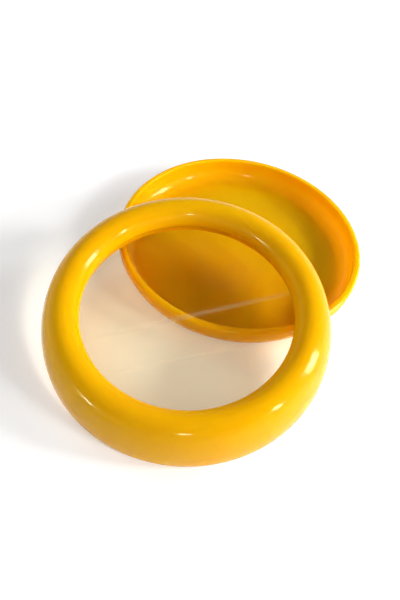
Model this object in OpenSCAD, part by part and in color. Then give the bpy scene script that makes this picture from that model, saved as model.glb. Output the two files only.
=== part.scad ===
// Stretch-film food saver: a shallow round dish and a rolled ring cover with a clear film in it.
// The cover has been taken off and leans on the dish, with one side of its skirt on the table.
// The dish stands on z = 0 with its axis on the z axis, and the cover leans out towards -y.

/* [Cover ring] */
// Outside diameter of the cover ring at its belt
cover_d = 115; // [95:1:150]
// Width of the ring, from its belt in to the tightest point of its opening
ring_w = 16; // [13:0.5:20]
// Radius of the rolled crest and lip
crest_r = 6; // [5:0.25:7.5]
// How far the lip rolls back under, past its tightest point, in degrees
lip_roll = 48.5; // [40:0.5:60]
// Thickness of the skirt at its edge
skirt_t = 2.2; // [1.8:0.1:3]

/* [Dish] */
// Height of the dish from the table to its rim
dish_h = 13; // [10.5:0.5:18]
// Width of the land on top of the rim
rim_w = 2.8; // [2.2:0.1:3.6]
// Height of the thickened band round the rim
rim_h = 4.6; // [3.8:0.1:5.6]
// Rounding of the rim's outer top edge
rim_round = 1.5; // [0.8:0.1:2]
// Width of the foot ring that the dish stands on
foot_w = 3; // [2:0.5:6]
// Height of the foot ring under the floor of the dish
foot_h = 0.6; // [0.4:0.1:1.2]

/* [Film and clamp ring] */
// Thickness of the clear film
film_t = 0.4; // [0.3:0.1:0.8]
// Width of the film's margin that is nipped under the lip
film_grip = 2.5; // [2:0.1:3]
// Thickness of the clamp ring's flange
flange_t = 2; // [1.5:0.1:2.6]
// Thickness of the collar that snaps into the rolled lip
collar_t = 1.6; // [1.2:0.1:2]
// Radius of the snap bead on the collar
bead_r = 0.9; // [0.7:0.05:1.1]
// Height of the rib that centres the cover in the dish
rib_h = 1.5; // [1:0.1:2]
// Thickness of that rib
rib_t = 1.6; // [1.2:0.1:2.4]

/* [Fits] */
// Wall of the moulded pieces
wall = 2; // [1.6:0.1:2.4]
// Gap between pieces that slide into each other
part_gap = 0.3; // [0.2:0.05:0.5]
// Number of snap lugs inside the skirt
lugs = 6; // [4:1:8]
// Length of a snap lug round the skirt, in degrees
lug_span = 14; // [8:1:24]
// Radius of a snap lug's rounded section
lug_r = 0.8; // [0.6:0.1:1]
// How far a snap lug stands out of the skirt
lug_bite = 0.7; // [0.5:0.05:0.8]
// How far a lug's middle sits below the rim band when the cover is closed
lug_drop = 0.6; // [0.5:0.05:0.9]
// Height of a lug's middle above the skirt's edge
lug_up = 1.4; // [1.2:0.1:4]

/* [Lean] */
// How far past the cover's middle its skirt crosses the dish's rim, measured up the slope
lean_cross = 30.5; // [24:0.5:36]
// Gap between the skirt and the dish's rim where the cover leans on it
lean_gap = 0.3; // [0.2:0.05:0.5]

/* [Hidden] */
$fn = 96;
yellow = [0.96, 0.70, 0.02];
clear_film = [0.93, 0.93, 0.90, 0.35];
// How far a cutting shape reaches past the face that it cuts
over = 1;
// How far an arc stands proud of the line or arc that it runs into, so that the two cross cleanly
lap = 0.01;
// Small roundings on the rim's inner edge and under its band
rim_inner_round = 0.5;
rim_under_round = 0.6;
// Where the snap bead sits on the roll, in degrees below level
bead_angle = 69;

// Belt of the cover: the skirt's full-round edge ends there and the side arc starts upright
belt_r = cover_d / 2;
edge_r = skirt_t / 2;
bore_r = belt_r - skirt_t;

// Heights above the skirt's edge, from the lugs up: dish rim, clamp flange, film and rolled lip
rim_seat_z = lug_up + lug_drop + rim_h;
flange_top = rim_seat_z + flange_t;
film_z = flange_top + film_t;
cover_h = film_z + crest_r * (1 + sin(lip_roll));

// The section of the cover is three tangent arcs: a rolled crest, a fuller shoulder and a flat side.
// The two angles above level are where the crest ends and where the side starts.
crest_c = [belt_r - ring_w + crest_r, cover_h - crest_r];
side_w = ring_w - crest_r;
side_h = cover_h - edge_r;
crest_end = 65;
side_start = 1.4 * atan((side_w - crest_r) / (side_h - crest_r));

// Out and up, the shoulder and the side together span what the crest leaves of the section.
// Each span below is for a radius of one, so the two radii solve a pair of equations.
left_span = [side_w - crest_r * cos(crest_end), side_h - crest_r * (1 - sin(crest_end))];
shoulder_span = [cos(side_start) - cos(crest_end), sin(crest_end) - sin(side_start)];
side_span = [1 - cos(side_start), sin(side_start)];
span_area = cross(shoulder_span, side_span);
shoulder_r = cross(left_span, side_span) / span_area;
side_r = cross(shoulder_span, left_span) / span_area;
shoulder_c = crest_c - (shoulder_r - crest_r) * [cos(crest_end), sin(crest_end)];
side_c = [belt_r - side_r, edge_r];

// The film lies against the foot of the rolled lip
view_r = crest_c.x - crest_r * cos(lip_roll);
film_r = view_r + film_grip;

// The clamp ring lies under the film, and its flange stops the dish's rim
flange_r = side_c.x + sqrt(pow(side_r - wall, 2) - pow(flange_top - side_c.y, 2)) - part_gap;
collar_r = film_r + part_gap;
bead_c = crest_c - (crest_r - wall - part_gap - bead_r) * [cos(bead_angle), sin(bead_angle)];

// The dish's rim slides into the bore of the skirt
rim_r = bore_r - part_gap;
rim_inner_r = rim_r - rim_w;
rib_r = rim_inner_r - part_gap;
neck_r = rim_inner_r + wall;
bowl_r = dish_h - rim_h;
foot_r = neck_r - bowl_r;
floor_z = foot_h + wall;

// The leaning cover touches the table with its skirt edge and crosses the rim at two places.
// slope_l runs up the skirt from the touch to the line through those two places.
edge_c_r = belt_r - edge_r;
land_r = rim_r - rim_round;
slope_l = edge_c_r + lean_cross;
lean_angle = asin((dish_h + lean_gap - edge_r) / norm([slope_l, edge_r])) + atan(edge_r / slope_l);
lean_z = edge_c_r * sin(lean_angle) + edge_r * (1 - cos(lean_angle));
half_chord = sqrt(pow(edge_c_r, 2) - pow(lean_cross, 2));
lean_y = lean_cross * cos(lean_angle) + sqrt(pow(land_r, 2) - pow(half_chord, 2));

// What is cut away to round a corner whose tip is at the origin and points to +x and +y
module corner_cut(r) {
    difference() {
        translate([-r, -r]) square(r + over);
        translate([-r, -r]) circle(r);
    }
}

// Places a shape of the cover's own frame, with z = 0 at its skirt edge, in the leaning pose
module leaning() {
    translate([0, -lean_y, lean_z]) rotate([lean_angle, 0, 0]) children();
}

// Half section of the dish: flat floor, curved wall, thickened rim band and a foot ring
module dish_section() {
    inner_r = bowl_r - wall;
    difference() {
        union() {
            square([foot_r, bowl_r]);
            intersection() {
                translate([foot_r, bowl_r]) circle(bowl_r);
                translate([foot_r, 0]) square(bowl_r);
            }
            translate([0, bowl_r]) square([rim_r, rim_h]);
        }
        translate([0, floor_z]) square([foot_r, dish_h]);
        intersection() {
            translate([foot_r, floor_z + inner_r]) circle(inner_r);
            translate([foot_r, floor_z]) square(inner_r);
        }
        translate([0, floor_z + inner_r]) square([rim_inner_r, dish_h]);
        translate([0, -over]) square([foot_r - foot_w, foot_h + over]);
        translate([rim_r, dish_h]) corner_cut(rim_round);
        translate([rim_inner_r, dish_h]) mirror([1, 0]) corner_cut(rim_inner_round);
        translate([rim_r, bowl_r]) mirror([0, 1]) corner_cut(rim_under_round);
    }
}

// The area right of the crest's middle and below the line through p that rises at an angle
module below_line(p, angle) {
    reach = 2 * ring_w;
    left_y = p.y + (crest_c.x - p.x) * tan(angle);
    right_y = left_y + reach * tan(angle);
    translate([crest_c.x, 0]) polygon([[0, 0], [0, left_y], [reach, right_y], [reach, 0]]);
}

// Half section of the cover's outer form, drawn in by inset all along
module dome_section(inset) {
    translate(crest_c) circle(crest_r + 2 * lap - inset);
    intersection() {
        translate(shoulder_c) circle(shoulder_r + lap - inset);
        below_line(crest_c, crest_end);
    }
    intersection() {
        translate(side_c) circle(side_r - inset);
        below_line(shoulder_c, side_start);
    }
}

// Half section of the cover ring: a hollow roll, open below between its lip and its skirt
module cover_section() {
    difference() {
        dome_section(0);
        intersection() {
            dome_section(wall);
            translate([0, rim_seat_z]) square([belt_r, cover_h]);
        }
        translate([film_r, 0]) square([crest_c.x - film_r + over, crest_c.y]);
        translate([film_r, 0]) square([bore_r - film_r, rim_seat_z]);
        square([film_r + over / 2, film_z]);
        difference() {
            translate([bore_r - over, -over]) square([skirt_t + 2 * over, edge_r + over]);
            translate([edge_c_r, edge_r + lap]) circle(edge_r + lap);
        }
    }
}

// Half section of the clamp ring: flange, collar with its snap bead, and centring rib
module clamp_section() {
    translate([view_r, rim_seat_z]) square([flange_r - view_r, flange_t]);
    translate([collar_r, flange_top]) square([collar_t, bead_c.y - flange_top]);
    translate(bead_c) circle(bead_r);
    difference() {
        translate([rib_r - rib_t, rim_seat_z - rib_h]) square([rib_t, rib_h]);
        translate([rib_r, rim_seat_z - rib_h]) mirror([0, 1]) corner_cut(rib_h / 2);
    }
}

module dish() {
    color(yellow) rotate_extrude() dish_section();
}

module cover_ring() {
    color(yellow) leaning() {
        rotate_extrude() cover_section();
        for (i = [0 : lugs - 1]) {
            rotate([0, 0, i * 360 / lugs - lug_span / 2])
                rotate_extrude(angle = lug_span)
                    translate([bore_r + lug_r - lug_bite, lug_up]) circle(lug_r, $fn = 32);
        }
    }
}

module stretch_film() {
    color(clear_film) leaning() translate([0, 0, flange_top]) cylinder(r = film_r, h = film_t);
}

module film_clamp_ring() {
    color(yellow) leaning() rotate_extrude() clamp_section();
}

dish();
cover_ring();
stretch_film();
film_clamp_ring();
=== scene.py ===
# %% [markdown]
# # A stretch-film food saver
# The object is a yellow kitchen saver for half a fruit: a shallow dish, and a ring cover with a clear
# film stretched across its opening. The cover has been taken off and leans on the dish.
# Every piece is a body of revolution, so each one starts as a half outline of radius and height.
# numpy turns the outline round its axis, and the mesh gets the finished points in one go.

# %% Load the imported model
import math

import bpy
import numpy as np
from mathutils import Matrix


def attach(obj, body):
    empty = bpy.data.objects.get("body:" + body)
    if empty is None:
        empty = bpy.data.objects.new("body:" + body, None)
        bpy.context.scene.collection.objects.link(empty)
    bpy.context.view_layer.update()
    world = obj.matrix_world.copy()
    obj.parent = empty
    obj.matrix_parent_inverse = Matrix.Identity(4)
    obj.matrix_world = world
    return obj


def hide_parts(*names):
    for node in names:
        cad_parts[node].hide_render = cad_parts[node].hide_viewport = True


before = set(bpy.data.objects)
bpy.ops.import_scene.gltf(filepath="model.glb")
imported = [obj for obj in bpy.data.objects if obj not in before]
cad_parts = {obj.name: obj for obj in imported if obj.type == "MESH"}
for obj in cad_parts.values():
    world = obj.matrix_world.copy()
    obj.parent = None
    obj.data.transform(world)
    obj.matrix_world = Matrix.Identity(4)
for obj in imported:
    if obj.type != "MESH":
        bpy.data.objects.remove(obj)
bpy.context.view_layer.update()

# %% [markdown]
# ## Outlines
# A moulding's section is made of lines and arcs that run into each other. Modelling them by hand with
# bevels would give each corner its own settings. Here the arcs come from one formula, and one smoothing
# pass gives every sharp corner the small radius that a steel mould leaves on it.

# %% Arcs and soft corners
MM = 0.001
FINE_STEP = 0.04 * MM
BELL_REACH = 3


def arc(centre, radius, start, end, steps=60):
    """Points at centre + radius * (cos a, sin a), for the angle a from start to end in degrees."""
    angle = np.radians(np.linspace(start, end, steps))
    return np.column_stack([centre[0] + radius * np.cos(angle), centre[1] + radius * np.sin(angle)])


def smoothed(walk, width, closed):
    """Average of each point with its neighbours, weighted by a bell curve of their distance d.

    The weight is exp(-d * d / (2 * width * width)), cut off at BELL_REACH widths.
    A closed walk goes on from its end to its start. An open one stands on the axis at both ends,
    so it goes on as its own mirror image, with the radius negative.
    """
    reach = int(BELL_REACH * width / FINE_STEP)
    bell = np.exp(-0.5 * (np.arange(-reach, reach + 1) * FINE_STEP / width) ** 2)
    bell /= bell.sum()
    if closed:
        before, after = walk[-reach - 1:-1], walk[1:reach + 1]
    else:
        mirrored = walk * [-1, 1]
        before, after = mirrored[reach:0:-1], mirrored[-2:-reach - 2:-1]
    longer = np.vstack([before, walk, after])
    return np.column_stack([np.convolve(longer[:, k], bell, mode="valid") for k in (0, 1)])


print(len(arc((0, 0), 1, 0, 90)), "points in a quarter of a circle")

# %% [markdown]
# A mesh needs many points on a tight bend and few on a straight run. Blender's Subdivision Surface would
# split both alike. Here each stretch of the outline costs effort for its length and for its turn, and the
# points are spread so that each step costs the same.

# %% From runs to an outline
def outline(runs, closed, corner=0.18 * MM, longest=1.2 * MM, sharpest=math.radians(6)):
    """Joins points and arcs to one outline of (radius, height) pairs, with soft corners.

    The path is walked in fine equal steps and smoothed. Then stops are chosen so that between two of
    them the path is at most `longest` long and turns by at most `sharpest`: they are evenly spaced in
    the running sum of length / longest + turn / sharpest.
    """
    path = np.vstack([np.atleast_2d(run) for run in runs])
    if closed:
        path = np.vstack([path, path[:1]])
    along = np.concatenate([[0.0], np.cumsum(np.linalg.norm(np.diff(path, axis=0), axis=1))])
    fine = np.linspace(0.0, along[-1], int(along[-1] / FINE_STEP) + 1)
    walk = np.column_stack([np.interp(fine, along, path[:, k]) for k in (0, 1)])
    walk = smoothed(walk, corner, closed)
    step = np.diff(walk, axis=0)
    heading = np.unwrap(np.arctan2(step[:, 1], step[:, 0]))
    turn = np.abs(np.gradient(heading))
    cost = np.linalg.norm(step, axis=1) / longest + turn / sharpest
    effort = np.concatenate([[0.0], np.cumsum(cost)])
    count = math.ceil(effort[-1])
    stops = np.linspace(0.0, effort[-1], count + 1)[:count + (not closed)]
    points = np.column_stack([np.interp(stops, effort, walk[:, k]) for k in (0, 1)])
    if not closed:
        points[[0, -1], 0] = 0.0
    return points


print("outlines are walked in steps of", FINE_STEP / MM, "mm")

# %% [markdown]
# ## From an outline to a mesh
# Blender's Spin tool or Screw modifier could turn an outline too. A grid of points is as easy, and it
# can still be pushed about before it becomes a mesh: rows run round the axis, columns run along the
# outline. On a moulding the outer corners wear first, so each point of an outline also gets a value for
# how sharply it bends outwards, which the material reads later.

# %% Turned grids and their edges
TURN_STEPS = 360
TURN = np.linspace(0.0, 2 * np.pi, TURN_STEPS, endpoint=False)[:, None]


def turned(radius, height):
    """Grid of points (radius cos t, radius sin t, height), for each angle t of the turn."""
    radius, height = np.broadcast_arrays(radius, height, np.empty((TURN_STEPS, 1)))[:2]
    return np.stack([radius * np.cos(TURN), radius * np.sin(TURN), height], axis=-1)


def convexity(points, closed, full=0.5 * MM):
    """How sharply the outline bends outwards at each point: 1 where the bend's radius is `full`."""
    before, after = np.roll(points, 1, axis=0), np.roll(points, -1, axis=0)
    a, b = points - before, after - points
    bend = np.arctan2(a[:, 0] * b[:, 1] - a[:, 1] * b[:, 0], (a * b).sum(axis=1))
    length = (np.linalg.norm(a, axis=1) + np.linalg.norm(b, axis=1)) / 2
    value = np.clip(bend / length * full, 0.0, 1.0)
    if not closed:
        value[[0, -1]] = 0.0
    return value


print(TURN_STEPS, "rows in a turn")

# %% [markdown]
# The outlines run counter-clockwise, so the faces of the grid point outwards. A ring's outline is closed
# and its grid joins up both ways. A dish's outline starts and ends on the axis, where a whole row of
# points would fall together, so one point with a fan of triangles closes the middle.

# %% Mesh of a turned piece
def turned_piece(name, grid, closed, edge):
    """Mesh object of a turned grid, with its edge values as an attribute. Prints its size.

    Each grid cell is a four-sided face. A closed outline joins its last column to its first.
    An open one has single points and fans of triangles for its first and last columns.
    """
    rows = grid.shape[0]
    if not closed:
        poles = grid[0, [0, -1]]
        pole_edge = edge[[0, -1]]
        grid, edge = grid[:, 1:-1], edge[1:-1]
    columns = grid.shape[1]
    index = np.arange(rows * columns).reshape(rows, columns)
    beside = np.roll(index, -1, axis=0)
    points = grid.reshape(-1, 3)
    values = np.tile(edge, rows)
    if closed:
        above, beside_above = np.roll(index, -1, axis=1), np.roll(beside, -1, axis=1)
        faces = np.stack([index, beside, beside_above, above], axis=-1).reshape(-1, 4).tolist()
    else:
        quads = np.stack([index[:, :-1], beside[:, :-1], beside[:, 1:], index[:, 1:]], axis=-1)
        first, last = np.full(rows, len(points)), np.full(rows, len(points) + 1)
        fans = [np.column_stack([first, beside[:, 0], index[:, 0]]),
                np.column_stack([last, index[:, -1], beside[:, -1]])]
        faces = quads.reshape(-1, 4).tolist() + np.vstack(fans).tolist()
        points = np.vstack([points, poles])
        values = np.concatenate([values, pole_edge])
    mesh = bpy.data.meshes.new(name)
    mesh.from_pydata(points.tolist(), [], faces)
    mesh.polygons.foreach_set("use_smooth", np.ones(len(faces), dtype=bool))
    attribute = mesh.attributes.new("edge", "FLOAT", "POINT")
    attribute.data.foreach_set("value", values.astype(np.float32))
    mesh.update()
    piece = bpy.data.objects.new(name, mesh)
    bpy.context.scene.collection.objects.link(piece)
    size = np.ptp(points, axis=0) / MM
    print(f"{name}: {len(faces)} faces, {size[0]:.1f} x {size[1]:.1f} x {size[2]:.1f} mm")
    return piece


print("turned pieces can be made")

# %% [markdown]
# ## The dish
# The dish has a flat floor, a curved wall and a thick band round its rim, which the cover's skirt snaps
# over. Below it stands on a thin foot ring. Its wall is a pair of arcs, the inner one smaller by the
# wall's thickness. The finished piece rides on the dish's body and stands for its CAD node.

# %% Dish
WALL = 2 * MM
RIM_R = 55 * MM
RIM_W = 2.8 * MM
RIM_H = 4.6 * MM
RIM_ROUND = 1.5 * MM
RIM_INNER_ROUND = 0.5 * MM
RIM_UNDER_ROUND = 0.6 * MM
DISH_H = 13 * MM
FOOT_W = 3 * MM
FOOT_H = 0.6 * MM

rim_inner_r = RIM_R - RIM_W
bowl_r = DISH_H - RIM_H
foot_r = rim_inner_r + WALL - bowl_r
floor_z = FOOT_H + WALL
inner_r = bowl_r - WALL
under_c = (RIM_R - RIM_UNDER_ROUND, bowl_r + RIM_UNDER_ROUND)
top_c = (RIM_R - RIM_ROUND, DISH_H - RIM_ROUND)
inner_top_c = (rim_inner_r + RIM_INNER_ROUND, DISH_H - RIM_INNER_ROUND)
dish_line = outline([
    (0, FOOT_H),
    (foot_r - FOOT_W, FOOT_H),
    (foot_r - FOOT_W, 0),
    arc((foot_r, bowl_r), bowl_r, -90, 0),
    arc(under_c, RIM_UNDER_ROUND, -90, 0),
    arc(top_c, RIM_ROUND, 0, 90),
    arc(inner_top_c, RIM_INNER_ROUND, 90, 180),
    arc((foot_r, floor_z + inner_r), inner_r, 0, -90),
    (0, floor_z),
], closed=False)
dish = turned_piece("dish_moulding", turned(*dish_line.T), False, convexity(dish_line, False))
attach(dish, "dish_body")
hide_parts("dish")

# %% [markdown]
# ## Where the cover leans
# The cover is drawn upright, with its skirt edge at height zero, and then leant as one. Its skirt touches
# the table on one side and crosses the dish's rim at two places, and both follow from a right triangle:
# the rim's height over the way up the slope gives the angle. Turning the object in Blender would do too,
# but then its place wouldn't be in its mesh, where the export looks for it.

# %% Lean of the cover
COVER_D = 115 * MM
SKIRT_T = 2.2 * MM
LEAN_CROSS = 30.5 * MM
LEAN_GAP = 0.3 * MM

belt_r = COVER_D / 2
edge_r = SKIRT_T / 2
edge_c_r = belt_r - edge_r
slope_l = edge_c_r + LEAN_CROSS
rise = DISH_H + LEAN_GAP - edge_r
lean = math.asin(rise / math.hypot(slope_l, edge_r)) + math.atan(edge_r / slope_l)
lean_z = edge_c_r * math.sin(lean) + edge_r * (1 - math.cos(lean))
half_chord = math.sqrt(edge_c_r ** 2 - LEAN_CROSS ** 2)
lean_y = LEAN_CROSS * math.cos(lean) + math.sqrt((RIM_R - RIM_ROUND) ** 2 - half_chord ** 2)


def leant(points):
    """Turns points of the upright cover about the x axis by the lean, and moves them to their place."""
    c, s = math.cos(lean), math.sin(lean)
    return points @ np.array([[1, 0, 0], [0, c, s], [0, -s, c]]) + [0, -lean_y, lean_z]


print(f"the cover leans by {math.degrees(lean):.2f} degrees, {lean_y / MM:.1f} mm in front of the dish")

# %% [markdown]
# ## The cover ring
# The ring is a hollow roll with an open underside. Outside, its section is three arcs that run into each
# other: a flat side, a fuller shoulder and a rolled crest that turns back under to a lip. The two outer
# radii follow from the width and the height that the crest leaves over, as a pair of linear equations.

# %% Section of the cover ring
RING_W = 16 * MM
CREST_R = 6 * MM
LIP_ROLL = 48.5
CREST_END = 65
SIDE_SHARE = 1.4
FILM_Z = 9 * MM
FILM_GRIP = 2.5 * MM
RIM_SEAT_Z = 6.6 * MM


def unit(angle):
    """Vector (cos a, sin a) for an angle a in degrees above level."""
    return np.array([math.cos(math.radians(angle)), math.sin(math.radians(angle))])


crest_c = np.array([belt_r - RING_W + CREST_R, FILM_Z + CREST_R * unit(LIP_ROLL)[1]])
side_w = RING_W - CREST_R
side_h = crest_c[1] + CREST_R - edge_r
side_start = SIDE_SHARE * math.degrees(math.atan((side_w - CREST_R) / (side_h - CREST_R)))
crest_dir = unit(CREST_END)
side_dir = unit(side_start)
spans = np.array([[side_dir[0] - crest_dir[0], 1 - side_dir[0]],
                  [crest_dir[1] - side_dir[1], side_dir[1]]])
left_over = [side_w - CREST_R * crest_dir[0], side_h - CREST_R * (1 - crest_dir[1])]
shoulder_r, side_r = np.linalg.solve(spans, left_over)
shoulder_c = crest_c - (shoulder_r - CREST_R) * crest_dir
side_c = np.array([belt_r - side_r, edge_r])
print(f"the shoulder's radius is {shoulder_r / MM:.2f} mm and the side's {side_r / MM:.2f} mm")

# %% [markdown]
# The inside of the roll follows the same three arcs, one wall further in. It is open between the lip,
# where the film lies, and the seat that the dish's rim is pushed up to.

# %% Outline of the cover ring
LONG_ARC = 120

bore_r = belt_r - SKIRT_T
view_r = crest_c[0] - CREST_R * unit(LIP_ROLL)[0]
film_r = view_r + FILM_GRIP
mouth_end = 360 - math.degrees(math.acos((film_r - crest_c[0]) / (CREST_R - WALL)))
seat_angle = math.degrees(math.asin((RIM_SEAT_Z - edge_r) / (side_r - WALL)))
cover_line = outline([
    (bore_r, RIM_SEAT_Z),
    arc((edge_c_r, edge_r), edge_r, 180, 360),
    arc(side_c, side_r, 0, side_start),
    arc(shoulder_c, shoulder_r, side_start, CREST_END),
    arc(crest_c, CREST_R, CREST_END, 180 + LIP_ROLL, LONG_ARC),
    (film_r, FILM_Z),
    arc(crest_c, CREST_R - WALL, mouth_end, CREST_END, LONG_ARC),
    arc(shoulder_c, shoulder_r - WALL, CREST_END, side_start),
    arc(side_c, side_r - WALL, side_start, seat_angle),
], closed=True)
print(len(cover_line), "points in the cover ring's outline")

# %% [markdown]
# Inside the skirt, six short lugs click under the dish's rim band. Each is a stretch of round bead.
# They could be separate beads pushed into the wall, but then the mesh would cross itself. Here the
# wall's own points move in to the bead's surface, under a window that opens and closes softly along
# the turn.

# %% Cover ring with its snap lugs
LUGS = 6
LUG_SPAN = 14
LUG_END = 1.5
LUG_R = 0.8 * MM
LUG_BITE = 0.7 * MM
LUG_UP = 1.4 * MM


def eased(share):
    """Soft start and end for a share from 0 to 1: three times its square less twice its cube."""
    return share * share * (3 - 2 * share)


radius, height = cover_line.T
inside_skirt = (radius < edge_c_r) & (height < RIM_SEAT_Z - WALL) & (radius > bore_r - WALL)
bead_half = np.sqrt(np.clip(LUG_R ** 2 - (height - LUG_UP) ** 2, 0.0, None))
bead_r = np.where(bead_half > 0, bore_r + LUG_R - LUG_BITE - bead_half, np.inf)
bite = np.where(inside_skirt, np.clip(radius - bead_r, 0.0, None), 0.0)
pitch = 360 / LUGS
from_lug = np.abs((np.degrees(TURN) + pitch / 2) % pitch - pitch / 2)
window = eased(np.clip((LUG_SPAN / 2 + LUG_END / 2 - from_lug) / LUG_END, 0.0, 1.0))
cover_grid = leant(turned(radius - window * bite, height))
cover = turned_piece("cover_ring_moulding", cover_grid, True, convexity(cover_line, True))
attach(cover, "cover_body")
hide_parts("cover_ring")

# %% [markdown]
# ## The clamp ring
# A second moulding under the film nips its margin against the rolled lip. Its collar snaps into the roll
# with a small bead, its flange stops the dish's rim, and a rib below centres the cover in the dish.
# It shows only from below and through the film, and its outline is mostly straight steps.

# %% Clamp ring
FILM_T = 0.4 * MM
PART_GAP = 0.3 * MM
COLLAR_T = 1.6 * MM
BEAD_R = 0.9 * MM
BEAD_ANGLE = 69
RIB_H = 1.5 * MM
RIB_T = 1.6 * MM

flange_top = FILM_Z - FILM_T
flange_in_roll = math.sqrt((side_r - WALL) ** 2 - (flange_top - side_c[1]) ** 2)
flange_r = side_c[0] + flange_in_roll - PART_GAP
collar_r = film_r + PART_GAP
bead_c = crest_c - (CREST_R - WALL - PART_GAP - BEAD_R) * unit(BEAD_ANGLE)
bead_end = 360 - math.degrees(math.acos((collar_r - bead_c[0]) / BEAD_R))
rib_r = rim_inner_r - PART_GAP
rib_foot_z = RIM_SEAT_Z - RIB_H
clamp_line = outline([
    (view_r, RIM_SEAT_Z),
    (rib_r - RIB_T, RIM_SEAT_Z),
    (rib_r - RIB_T, rib_foot_z),
    arc((rib_r - RIB_H / 2, rib_foot_z + RIB_H / 2), RIB_H / 2, -90, 0),
    (rib_r, RIM_SEAT_Z),
    (flange_r, RIM_SEAT_Z),
    (flange_r, flange_top),
    (collar_r + COLLAR_T, flange_top),
    (collar_r + COLLAR_T, bead_c[1]),
    arc(bead_c, BEAD_R, 0, bead_end),
    (collar_r, flange_top),
    (view_r, flange_top),
], closed=True, corner=0.1 * MM)
clamp_grid = leant(turned(*clamp_line.T))
clamp = turned_piece("clamp_ring_moulding", clamp_grid, True, convexity(clamp_line, True))
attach(clamp, "cover_body")
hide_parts("film_clamp_ring")

# %% [markdown]
# ## The stretch film
# The film is a thin clear sheet, nipped all round and drawn nearly flat. A cloth simulation of a sheet
# that is held taut would only come back flat, so the little that it does is written down: a slow swell
# where it has been pushed out before, and shallow creases along the way that it was last stretched.
# Each crease is a line at an angle, a distance to its side, and a start and an end along it.

# %% Stretch film
CREASES = [
    # angle in degrees, then offset, start, end and half width in mm, then strength
    (41.5, -0.6, -36, 44, 0.9, 1.0),
    (39.6, -17.7, -32, 22, 0.8, 0.7),
]
CREASE_H = 0.05 * MM
CREASE_FADE = 6 * MM
SWELL_H = 0.12 * MM
SWELL_R = 30 * MM
HELD_R = 43 * MM
HELD_FADE = 8 * MM


def crease(x, y, angle, offset, start, end, half_width):
    """Height of one crease from 0 to 1: a bell curve across its line, faded out beyond both ends."""
    c, s = unit(angle)
    along, across = x * c + y * s, y * c - x * s - offset * MM
    past = np.maximum(np.maximum(start * MM - along, along - end * MM), 0.0)
    return np.exp(-((across / (half_width * MM)) ** 2) - (past / CREASE_FADE) ** 2)


film_line = outline([(0, flange_top), (film_r, flange_top), (film_r, FILM_Z), (0, FILM_Z)],
                    closed=False, corner=0.05 * MM, longest=0.6 * MM)
film_grid = turned(*film_line.T)
x, y = film_grid[..., 0], film_grid[..., 1]
held = eased(np.clip((HELD_R - np.hypot(x, y)) / HELD_FADE, 0.0, 1.0))
swell = SWELL_H * np.exp(-(x ** 2 + y ** 2) / SWELL_R ** 2)
ridges = sum(strength * crease(x, y, *line) for *line, strength in CREASES)
film_grid[..., 2] += held * (swell + CREASE_H * ridges)
film = turned_piece("film_sheet", leant(film_grid), False, np.zeros(len(film_line)))
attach(film, "cover_body")
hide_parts("stretch_film")

# %% [markdown]
# ## Helpers for materials
# Node trees can be drawn by hand in the Shader Editor. In a script they read best when each node is one
# line that names its type, its settings and what feeds it.

# %% Node helpers
def add_node(tree, kind, settings=None, **inputs):
    """Adds a node. An input that is a socket is linked, and anything else becomes the socket's value.

    Inputs go by the socket's name, with _ for a space, or by its number, as in i0.
    """
    node = tree.nodes.new(kind)
    for key, value in (settings or {}).items():
        setattr(node, key, value)
    for key, value in inputs.items():
        socket = node.inputs[int(key[1:]) if key[1:].isdigit() else key.replace("_", " ")]
        if isinstance(value, bpy.types.NodeSocket):
            tree.links.new(value, socket)
        else:
            socket.default_value = value
    return node


def calc(tree, operation, a, b=0.0, clamp=False):
    """One Math node, and its result."""
    settings = {"operation": operation, "use_clamp": clamp}
    return add_node(tree, "ShaderNodeMath", settings, i0=a, i1=b).outputs[0]


def ramp(tree, value, low, high, out_low=0.0, out_high=1.0):
    """Carries value from low..high to out_low..out_high, with soft ends."""
    return add_node(tree, "ShaderNodeMapRange", {"interpolation_type": "SMOOTHSTEP"}, Value=value,
                    From_Min=low, From_Max=high, To_Min=out_low, To_Max=out_high).outputs["Result"]


def mixed(tree, share, a, b):
    """Colour between a and b."""
    return add_node(tree, "ShaderNodeMix", {"data_type": "RGBA"}, Factor=share, i6=a, i7=b).outputs[2]


def noise(tree, position, scale, detail=2.0):
    """Value of a noise texture, about 0.5 on average."""
    texture = add_node(tree, "ShaderNodeTexNoise", Vector=position, Scale=scale, Detail=detail)
    return texture.outputs["Fac"]


print("node helpers ready")

# %% [markdown]
# An effect that several materials share is a node group: it is built once, and each material places it
# with values of its own. A group has sockets of its own, which are made first.

# %% Groups and materials
def new_group(name, inputs, outputs):
    """Empty node group with named sockets, and its input and output nodes."""
    group = bpy.data.node_groups.new(name, "ShaderNodeTree")
    for key, kind in inputs.items():
        group.interface.new_socket(key, in_out="INPUT", socket_type="NodeSocket" + kind)
    for key, kind in outputs.items():
        group.interface.new_socket(key, in_out="OUTPUT", socket_type="NodeSocket" + kind)
    return group, group.nodes.new("NodeGroupInput").outputs, group.nodes.new("NodeGroupOutput").inputs


def new_material(name):
    """Material with only its output node. Returns it, its node tree and the output's surface socket."""
    material = bpy.data.materials.new(name)
    material.use_nodes = True
    material.node_tree.nodes.clear()
    output = material.node_tree.nodes.new("ShaderNodeOutputMaterial")
    return material, material.node_tree, output.inputs["Surface"]


print("groups and materials can be made")

# %% [markdown]
# ## Moulded yellow plastic
# The plastic is coloured right through and comes shiny out of a polished mould. Close up it isn't
# perfect, and a picture texture would show that only where it was painted. Noise on Object coordinates
# covers every side alike. The colour comes first: the pigment drifts a little, a few flecks are deeper,
# and rubbed edges are paler. Noise scales are in waves to the metre.

# %% Colour of the moulded plastic
DRIFT_SCALE = 24.0
DRIFT_RANGE = (0.38, 0.66)
DRIFT_SHARE = 0.5
FLECK_SCALE = 420.0
FLECK_RANGE = (0.55, 0.75)
FLECK_SHARE = 0.06
RUBBED_SHARE = 0.35

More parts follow.
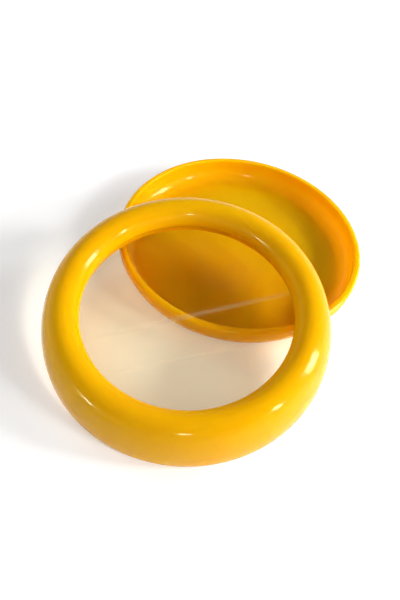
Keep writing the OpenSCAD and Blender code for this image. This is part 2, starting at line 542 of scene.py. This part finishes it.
mould_group, given, result = new_group(
    "moulded_plastic",
    {"Position": "Vector", "Edge": "Float", "Color": "Color", "Deep Color": "Color",
     "Rubbed Color": "Color", "Roughness": "Float", "Scuffs": "Float"},
    {"Color": "Color", "Roughness": "Float", "Height": "Float"})
drift = ramp(mould_group, noise(mould_group, given["Position"], DRIFT_SCALE, 3.0), *DRIFT_RANGE)
drift = calc(mould_group, "MULTIPLY", drift, DRIFT_SHARE)
fleck = ramp(mould_group, noise(mould_group, given["Position"], FLECK_SCALE), *FLECK_RANGE)
fleck = calc(mould_group, "MULTIPLY", fleck, FLECK_SHARE)
rubbed = calc(mould_group, "MULTIPLY", given["Edge"], RUBBED_SHARE)
tone = mixed(mould_group, drift, given["Color"], given["Deep Color"])
tone = mixed(mould_group, fleck, tone, given["Deep Color"])
tone = mixed(mould_group, rubbed, tone, given["Rubbed Color"])
mould_group.links.new(tone, result["Color"])
print(len(mould_group.nodes), "nodes for the plastic's colour")

# %% [markdown]
# The polish comes next. Handling leaves hairline scuffs in patches, and a noise that is stretched along
# one axis by a Mapping node draws them. A slow haze and the rubbed edges make it a little duller too.

# %% Polish and scuffs of the moulded plastic
COMB_TURN = (0.3, 0.2, 0.9)
COMB_STRETCH = (0.03, 1.0, 0.35)
HAIRLINE_SCALE = 1500.0
HAIRLINE_RANGE = (0.66, 0.72)
PATCH_SCALE = 46.0
PATCH_RANGE = (0.5, 0.7)
HAZE_SCALE = 130.0
HAZE_ROUGHNESS = 0.05
EDGE_ROUGHNESS = 0.08

combed = add_node(mould_group, "ShaderNodeMapping", Vector=given["Position"],
                  Rotation=COMB_TURN, Scale=COMB_STRETCH).outputs[0]
hairline = ramp(mould_group, noise(mould_group, combed, HAIRLINE_SCALE, 1.0), *HAIRLINE_RANGE)
patch = ramp(mould_group, noise(mould_group, given["Position"], PATCH_SCALE), *PATCH_RANGE)
scuff = calc(mould_group, "MULTIPLY", hairline, patch)
scuff = calc(mould_group, "MULTIPLY", scuff, given["Scuffs"])
haze = noise(mould_group, given["Position"], HAZE_SCALE)
haze = calc(mould_group, "MULTIPLY", haze, HAZE_ROUGHNESS)
dulled = calc(mould_group, "MULTIPLY", given["Edge"], EDGE_ROUGHNESS)
rough = calc(mould_group, "ADD", given["Roughness"], haze)
rough = calc(mould_group, "ADD", rough, scuff)
rough = calc(mould_group, "ADD", rough, dulled, clamp=True)
mould_group.links.new(rough, result["Roughness"])
print(len(mould_group.nodes), "nodes with its polish")

# %% [markdown]
# Last comes the skin. Moulded plastic has a faint orange peel with a finer grain on it. Both are far
# too shallow to model, so they are a height for a Bump node.

# %% Skin of the moulded plastic
PEEL_SCALE = 620.0
GRAIN_SCALE = 2600.0
GRAIN_SHARE = 0.12

peel = noise(mould_group, given["Position"], PEEL_SCALE, 1.0)
grain = calc(mould_group, "MULTIPLY", noise(mould_group, given["Position"], GRAIN_SCALE), GRAIN_SHARE)
mould_group.links.new(calc(mould_group, "ADD", peel, grain), result["Height"])
print(len(mould_group.nodes), "nodes with its skin")

# %% [markdown]
# Thin yellow walls let light through: it sinks in, spreads and comes out again beside or behind. A
# Translucent shader would do for a sheet of paper, but a wall with a thickness takes the Principled
# shader's Subsurface. Little blue gets through. The dish is an open shell that light reaches from both
# sides, so it glows more than the roll of the cover.

# %% Yellow of each moulding
COVER_YELLOW = (0.93, 0.45, 0.001)
DISH_YELLOW = (0.95, 0.435, 0.001)
DEEP = np.array([0.957, 0.89, 1.0])
RUBBED = np.array([1.02, 1.09, 3.0])
PEEL_H = 0.0025 * MM
PLASTIC_IOR = 1.49
GLOSS = 0.12
GLOW_COLOURS = (1.0, 1.0, 0.2)


def yellow_plastic(name, yellow, roughness, scuffs, glow_share, glow_depth):
    """Glossy plastic of one yellow on Object coordinates, with its own polish and amount of scuffs.

    Light sinks in and comes out again: glow_share of it, about glow_depth away.
    """
    material, tree, surface = new_material(name)
    position = add_node(tree, "ShaderNodeTexCoord").outputs["Object"]
    edge = add_node(tree, "ShaderNodeAttribute", {"attribute_name": "edge"}).outputs["Fac"]
    look = add_node(tree, "ShaderNodeGroup", {"node_tree": mould_group},
                    Position=position, Edge=edge, Roughness=roughness, Scuffs=scuffs,
                    Color=(*yellow, 1), Deep_Color=(*(yellow * DEEP), 1),
                    Rubbed_Color=(*(yellow * RUBBED), 1)).outputs
    bump = add_node(tree, "ShaderNodeBump", Strength=1.0, Distance=PEEL_H, Height=look["Height"])
    shader = add_node(tree, "ShaderNodeBsdfPrincipled",
                      Base_Color=look["Color"], Roughness=look["Roughness"], Normal=bump.outputs[0],
                      IOR=PLASTIC_IOR, Specular_IOR_Level=GLOSS, Subsurface_Weight=glow_share,
                      Subsurface_Radius=GLOW_COLOURS, Subsurface_Scale=glow_depth)
    tree.links.new(shader.outputs[0], surface)
    print(name, "made")
    return material


dish.data.materials.append(yellow_plastic(
    "dish_yellow", DISH_YELLOW, roughness=0.10, scuffs=0.12, glow_share=1.0, glow_depth=7 * MM))
cover.data.materials.append(yellow_plastic(
    "cover_yellow", COVER_YELLOW, roughness=0.08, scuffs=0.08, glow_share=0.6, glow_depth=4 * MM))
clamp.data.materials.append(yellow_plastic(
    "clamp_yellow", COVER_YELLOW, roughness=0.14, scuffs=0.10, glow_share=0.6, glow_depth=4 * MM))

# %% [markdown]
# ## Clear film
# The creases of the film show as faint pale lines. The pale is painted reflection: a light streak where
# each crease catches the light, laid on the real, shallow ridge of the mesh. The mask of one crease is
# the same bell curve as in its shape, so the painted streak lies on the ridge. One group draws any
# crease's streak from its line, and the film places it once for each.

# %% Node group for the painted streak of one crease of the film
STREAK_FADE_FROM = -12 * MM
STREAK_FADE_TO = 4 * MM

crease_streak_group, given, result = new_group(
    "film_crease_streak",
    {"Position": "Vector", "Angle": "Float", "Offset": "Float", "Start": "Float", "End": "Float",
     "Half Width": "Float"},
    {"Mask": "Float"})
turn_back = calc(crease_streak_group, "MULTIPLY", given["Angle"], -1.0)
line = add_node(crease_streak_group, "ShaderNodeVectorRotate", {"rotation_type": "Z_AXIS"},
                Vector=given["Position"], Angle=turn_back).outputs[0]
place = add_node(crease_streak_group, "ShaderNodeSeparateXYZ", Vector=line).outputs
across = calc(crease_streak_group, "SUBTRACT", place["Y"], given["Offset"])
across = calc(crease_streak_group, "DIVIDE", across, given["Half Width"])
bell = calc(crease_streak_group, "MULTIPLY", across, across)
bell = calc(crease_streak_group, "MULTIPLY", bell, -1.0)
bell = calc(crease_streak_group, "EXPONENT", bell)
past = calc(crease_streak_group, "MAXIMUM", calc(crease_streak_group, "SUBTRACT", given["Start"], place["X"]),
            calc(crease_streak_group, "SUBTRACT", place["X"], given["End"]))
ending = ramp(crease_streak_group, past, STREAK_FADE_FROM, STREAK_FADE_TO, 1.0, 0.0)
crease_streak_group.links.new(calc(crease_streak_group, "MULTIPLY", bell, ending), result["Mask"])
print(len(crease_streak_group.nodes), "nodes in a crease")

# %% [markdown]
# The pale share of the film is the sum of the painted reflection along its creases and of a few cloudy
# patches of haze. The pattern has to lie flat on the leaning film, so a Mapping node first undoes the
# lean.

# %% Painted crease streaks and haze of the film
# painted reflection: how pale the light streak along a crease is
CREASE_STREAK_SHARE = 0.065
CLOUD_SCALE = 38.0
CLOUD_RANGE = (0.52, 0.8)
CLOUD_WHITE = 0.006

film_material, tree, film_surface = new_material("clear_stretch_film")
place = add_node(tree, "ShaderNodeTexCoord").outputs["Object"]
flat = add_node(tree, "ShaderNodeMapping", {"vector_type": "TEXTURE"}, Vector=place,
                Location=(0, -lean_y, lean_z), Rotation=(lean, 0, 0)).outputs[0]
streak_sum = 0.0
for angle, offset, start, end, half_width, strength in CREASES:
    mask = add_node(tree, "ShaderNodeGroup", {"node_tree": crease_streak_group}, Position=flat,
                    Angle=math.radians(angle), Offset=offset * MM, Start=start * MM, End=end * MM,
                    Half_Width=half_width * MM).outputs["Mask"]
    # the crease's painted light streak
    streak_shine = calc(tree, "MULTIPLY", mask, strength * CREASE_STREAK_SHARE)
    streak_sum = calc(tree, "ADD", streak_sum, streak_shine)
cloud = ramp(tree, noise(tree, flat, CLOUD_SCALE, 3.0), *CLOUD_RANGE, 0.0, CLOUD_WHITE)
haze_and_streak_share = calc(tree, "ADD", streak_sum, cloud, clamp=True)
print(len(CREASES), "creases and a cloud in the film's white share")

# %% [markdown]
# The film lets nearly all light through unbent. A Principled shader with Transmission would bend it as
# thick glass does, so the base is a Transparent shader with a faint warm tint. A mirror share is mixed
# in by Schlick's rule, little when seen square on and much at a glancing angle. Where the film is
# pale, a soft shader scatters the light: real haze in the cloudy patches, and painted reflection along
# the creases.

# %% Film material
FILM_TINT = (0.98, 0.96, 0.875, 1)
MIRROR_TINT = (1, 0.95, 0.8, 1)
HAZE_STREAK_TINT = (1.0, 0.92, 0.62, 1)
SCHLICK_POWER = 5.0
MIRROR_MOST = 0.9
MIRROR_LEAST = 0.006
WAVE_SCALE = 160.0
WAVE_H = 0.002 * MM

facing = add_node(tree, "ShaderNodeLayerWeight", Blend=0.5).outputs["Facing"]
glancing = calc(tree, "POWER", facing, SCHLICK_POWER)
glancing = calc(tree, "MULTIPLY", glancing, MIRROR_MOST)
mirror_share = calc(tree, "ADD", glancing, MIRROR_LEAST, clamp=True)
wave = add_node(tree, "ShaderNodeBump", Strength=1.0, Distance=WAVE_H,
                Height=noise(tree, flat, WAVE_SCALE)).outputs[0]
clear = add_node(tree, "ShaderNodeBsdfTransparent", Color=FILM_TINT).outputs[0]
mirror = add_node(tree, "ShaderNodeBsdfPrincipled", Base_Color=MIRROR_TINT, Metallic=1.0,
                  Roughness=0.05, Normal=wave).outputs[0]
# soft pale shader: real haze in the cloud, painted reflection along the creases
white = add_node(tree, "ShaderNodeBsdfPrincipled", Base_Color=HAZE_STREAK_TINT, Roughness=0.4).outputs[0]
glossy = add_node(tree, "ShaderNodeMixShader", Fac=mirror_share, i1=clear, i2=mirror).outputs[0]
clouded = add_node(tree, "ShaderNodeMixShader", Fac=haze_and_streak_share, i1=glossy, i2=white).outputs[0]
tree.links.new(clouded, film_surface)
film.data.materials.append(film_material)
print("film material with", len(tree.nodes), "nodes")

# %% [markdown]
# ## Floor
# The floor is plain and pale, and it keeps the shadow. A floor lit only by lamps goes grey far away, and
# stronger lamps would burn out the object. So for the eye, for reflections and for what shows through
# the film, the floor glows: a little near the object, and more with distance until it is plain white.
# Light Path tells those rays from the ones that gather light, so the glow lights nothing.

# %% Floor
FLOOR_HALF = 4.0
FLOOR_Z = -0.05 * MM
FLOOR_GREY = 0.92
FLOOR_GLOW = 0.22
LIT_TO = 0.35
WHITE_FROM = 0.9


def seen_directly(tree):
    """1 for rays from the eye, in reflections and through clear pieces, 0 for rays that gather light."""
    path = add_node(tree, "ShaderNodeLightPath").outputs
    seen = calc(tree, "MAXIMUM", path["Is Camera Ray"], path["Is Glossy Ray"])
    return calc(tree, "MAXIMUM", seen, path["Is Transmission Ray"])


corners = np.array([[-1, -1], [1, -1], [1, 1], [-1, 1]]) * FLOOR_HALF
floor_mesh = bpy.data.meshes.new("floor")
floor_mesh.from_pydata(np.column_stack([corners, np.full(4, FLOOR_Z)]).tolist(), [], [[0, 1, 2, 3]])
floor = bpy.data.objects.new("floor", floor_mesh)
bpy.context.scene.collection.objects.link(floor)
floor_material, tree, floor_surface = new_material("pale_floor")
place = add_node(tree, "ShaderNodeTexCoord").outputs["Object"]
away = add_node(tree, "ShaderNodeVectorMath", {"operation": "LENGTH"}, i0=place).outputs["Value"]
glow = ramp(tree, away, LIT_TO, WHITE_FROM, FLOOR_GLOW, 1.0)
glow = calc(tree, "MULTIPLY", seen_directly(tree), glow)
shader = add_node(tree, "ShaderNodeBsdfPrincipled", Base_Color=(FLOOR_GREY,) * 3 + (1,), Roughness=0.9,
                  Specular_IOR_Level=0.0, Emission_Color=(1, 1, 1, 1), Emission_Strength=glow)
tree.links.new(shader.outputs[0], floor_surface)
floor_mesh.materials.append(floor_material)
print(f"floor {2 * FLOOR_HALF:.0f} m wide, plain white from {WHITE_FROM} m on")

# %% [markdown]
# ## The room
# What surrounds the object shows in its gloss. White walls join the floor without a line, and a grey
# ceiling leaves the tops of the mouldings their deep yellow. As a source of light the room is dim, so
# that the lamps do the lighting.

# %% World
ROOM_LIGHT = (0.03, 0.03, 0.03, 1)
WALL_SEEN = (1, 1, 1, 1)
CEILING_SEEN = (0.12, 0.12, 0.12, 1)
WALL_TOP = 0.1
CEILING_FOOT = 0.55

world = bpy.data.worlds.new("white_room")
bpy.context.scene.world = world
world.use_nodes = True
tree = world.node_tree
tree.nodes.clear()
towards = add_node(tree, "ShaderNodeTexCoord").outputs["Generated"]
upwards = add_node(tree, "ShaderNodeSeparateXYZ", Vector=towards).outputs["Z"]
shown = mixed(tree, ramp(tree, upwards, WALL_TOP, CEILING_FOOT), WALL_SEEN, CEILING_SEEN)
colour = mixed(tree, seen_directly(tree), ROOM_LIGHT, shown)
room = add_node(tree, "ShaderNodeBackground", Strength=1.0, Color=colour)
output = add_node(tree, "ShaderNodeOutputWorld")
tree.links.new(room.outputs[0], output.inputs["Surface"])
print("room with", len(tree.nodes), "nodes")

# %% [markdown]
# ## Lamps
# A studio lamp is a bright rectangle on a stand, and Blender's area lamp is one too. Moving stands about
# by their coordinates is slow. Here a lamp is given by its compass direction and height and by its
# width and height as seen from the object, all in degrees, so it stays aimed when it is moved.

# %% Lamp helpers
LAMP_DISTANCE = 1.3
AIM = np.array([0.0, -0.03, 0.012])
GLINT_COLOUR = (1.0, 1.0, 0.6)
POWER_FACTOR = 4


def stand_axes(azimuth, elevation):
    """Right, up and back of a lamp or camera in a compass direction that looks at its aim.

    Back is (sin a cos e, -cos a cos e, sin e) for the azimuth a and the elevation e in degrees, so
    azimuth 0 is the side of -y. Right is level, and up is square to both.
    """
    a, e = math.radians(azimuth), math.radians(elevation)
    back = np.array([math.sin(a) * math.cos(e), -math.cos(a) * math.cos(e), math.sin(e)])
    right = np.array([math.cos(a), math.sin(a), 0.0])
    return right, np.cross(back, right), back


def set_up(stand, axes, aim, distance):
    """Puts a lamp or camera at aim + distance * back, turned to look at its aim. Returns its place."""
    matrix = np.eye(4)
    matrix[:3, :3] = np.column_stack(axes)
    matrix[:3, 3] = aim + distance * axes[2]
    stand.matrix_world = Matrix(matrix)
    bpy.context.scene.collection.objects.link(stand)
    return matrix[:3, 3]


def lamp(name, direction, span, radiance, lights=True, glints=True):
    """Rectangle lamp that faces the object, with its power from its radiance and its area.

    Cycles gives an area lamp the radiance power / (POWER_FACTOR * area). A lamp that lights without
    glints isn't seen in gloss. One that only glints lights no surface, and is a little yellow.
    """
    data = bpy.data.lights.new(name, "AREA")
    data.shape = "RECTANGLE"
    data.size, data.size_y = 2 * LAMP_DISTANCE * np.tan(np.radians(span) / 2)
    data.energy = POWER_FACTOR * radiance * data.size * data.size_y
    if not lights:
        data.color = GLINT_COLOUR
    stand = bpy.data.objects.new(name, data)
    stand.visible_camera = False
    stand.visible_diffuse = lights
    stand.visible_glossy = glints
    set_up(stand, stand_axes(*direction), AIM, LAMP_DISTANCE)
    print(f"{name}: {data.energy:.2f} W")


print("lamps stand", LAMP_DISTANCE, "m away")

# %% [markdown]
# The main light is a wide window at the right, in three parts. It is fairly low, so it models the roll
# of the ring from bright to deep yellow, and soft boxes in front, above and at the left fill the shade.
# One lamp could give both the light and its glint, but then neither could be set alone. So these lamps
# leave no glint, and the panes show only in reflections, where they make the crisp glints that tell
# the eye how glossy the plastic is.

# %% Lamps
lamp("window", direction=(111, 25), span=(11, 12), radiance=41, glints=False)
lamp("window_right", direction=(85, 25), span=(11, 12), radiance=30, glints=False)
lamp("window_back", direction=(135, 25), span=(11, 12), radiance=18, glints=False)
lamp("front_softbox", direction=(5, 36), span=(40, 30), radiance=1.35, glints=False)
lamp("top_softbox", direction=(0, 65), span=(40, 30), radiance=1.0, glints=False)
lamp("left_softbox", direction=(-110, 36), span=(40, 30), radiance=2.2, glints=False)
lamp("window_pane", direction=(112.5, 25), span=(12, 28), radiance=40, lights=False)
lamp("side_pane", direction=(79.5, 22), span=(4, 12), radiance=90, lights=False)
lamp("front_pane", direction=(22.5, 29), span=(5, 3), radiance=110, lights=False)
lamp("left_pane", direction=(-35.5, 6.5), span=(11, 4), radiance=65, lights=False)

# %% [markdown]
# ## Camera
# The camera looks down at the saver from the front, a little from the right, and is rolled slightly.
# Its place was fitted to the outlines of the ring, its opening and the dish. The long side of the
# picture is the sensor's width, so the lens follows from the focal length in pixels.

# %% Camera
PICTURE_H = 600
FOCAL_PIXELS = 618.9
SENSOR = 36.0
CLIP_START = 10 * MM
CAMERA_AZIMUTH = 17.971
CAMERA_ELEVATION = 50.81
CAMERA_ROLL = 9.40
CAMERA_DISTANCE = 270.65 * MM
LOOK_AT = np.array([-3.34, -33.42, 0.0]) * MM

level, upright, back = stand_axes(CAMERA_AZIMUTH, CAMERA_ELEVATION)
c, s = unit(CAMERA_ROLL)
right = c * level + s * upright
up = c * upright - s * level
lens = bpy.data.cameras.new("camera")
lens.sensor_width = SENSOR
lens.lens = FOCAL_PIXELS * SENSOR / PICTURE_H
lens.clip_start = CLIP_START
camera = bpy.data.objects.new("camera", lens)
camera_place = set_up(camera, (right, up, back), LOOK_AT, CAMERA_DISTANCE)
bpy.context.scene.camera = camera
bpy.context.scene.view_settings.view_transform = "Standard"
print(f"camera at {np.round(camera_place, 3).tolist()} with a {lens.lens:.1f} mm lens")
